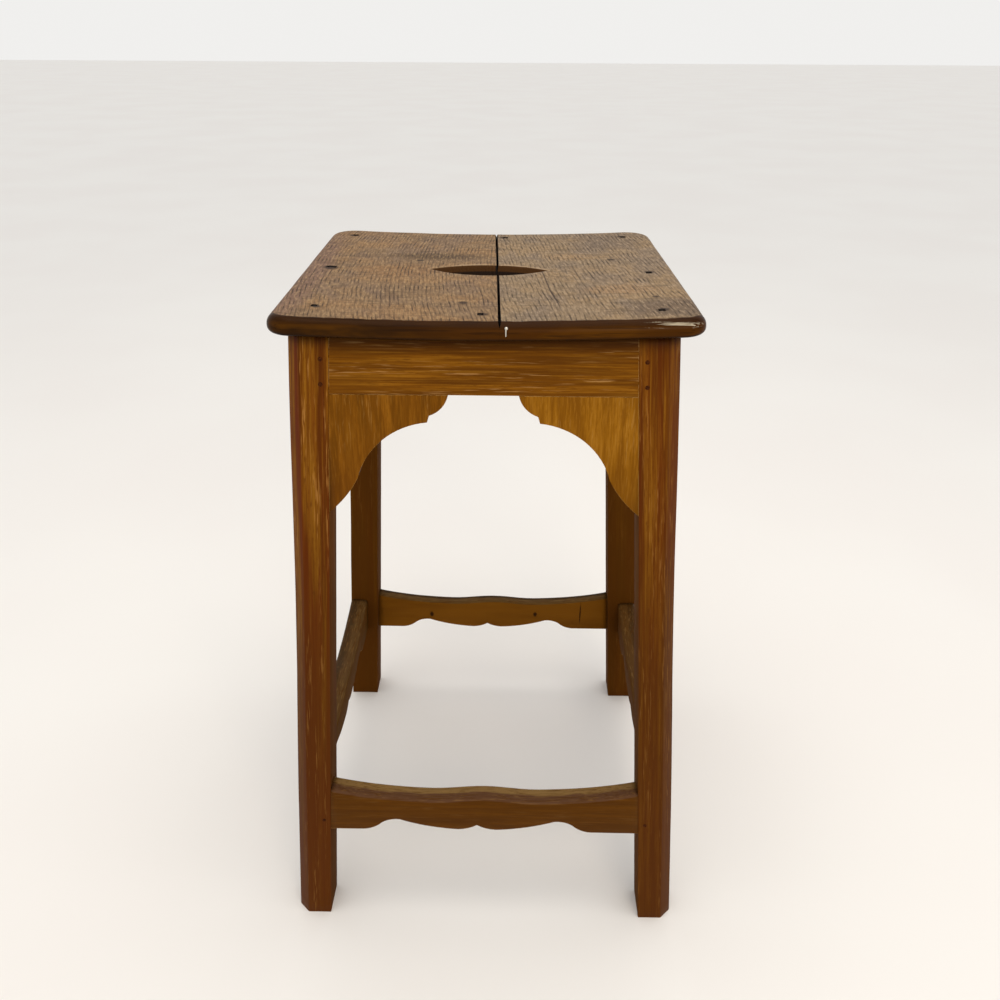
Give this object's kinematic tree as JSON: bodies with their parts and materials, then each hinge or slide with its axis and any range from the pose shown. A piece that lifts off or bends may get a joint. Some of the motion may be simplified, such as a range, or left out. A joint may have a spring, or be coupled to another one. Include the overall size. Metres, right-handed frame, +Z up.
{
  "type": "wooden milking stool",
  "caption": "Tall four-legged wooden stool with a dished plank seat, a lens-shaped hand slot, scrolled corner brackets and scalloped stretchers.",
  "frame": {"origin": "on the floor, under the middle of the frame's footprint", "axes": "+Z up, -Y to the front, +X to the right seen from the front; the joint between the seat boards runs front to back, along Y"},
  "size_m": [0.437, 0.437, 0.7072],
  "materials": {
    "seat_wood": "weathered, worn grey-brown top with dark varnished edges",
    "leg_wood": "reddish brown varnish, satin",
    "apron_wood": "honey brown varnish, satin",
    "stretcher_wood": "honey brown varnish, worn matte along the top edges",
    "peg_wood": "dark end grain, oiled",
    "nail_iron": "dull, rust-darkened",
    "bright_steel": "bright, a little scratched"
  },
  "bodies": {
    "root": {"seat_board_left": "seat_wood", "seat_board_right": "seat_wood", "leg_front_left": "leg_wood", "leg_front_right": "leg_wood", "leg_back_right": "leg_wood", "leg_back_left": "leg_wood", "apron_front": "apron_wood", "apron_right": "apron_wood", "apron_back": "apron_wood", "apron_left": "apron_wood", "bracket_front_left": "apron_wood", "bracket_front_right": "apron_wood", "bracket_right_front": "apron_wood", "bracket_right_back": "apron_wood", "bracket_back_right": "apron_wood", "bracket_back_left": "apron_wood", "bracket_left_back": "apron_wood", "bracket_left_front": "apron_wood", "stretcher_front": "stretcher_wood", "stretcher_right": "stretcher_wood", "stretcher_back": "stretcher_wood", "stretcher_left": "stretcher_wood", "pegs_front_left": "peg_wood", "pegs_front_right": "peg_wood", "pegs_back_right": "peg_wood", "pegs_back_left": "peg_wood", "seat_nails": "nail_iron", "edge_brad": "bright_steel", "bracket_brads": "nail_iron"}
  },
  "joints": []
}
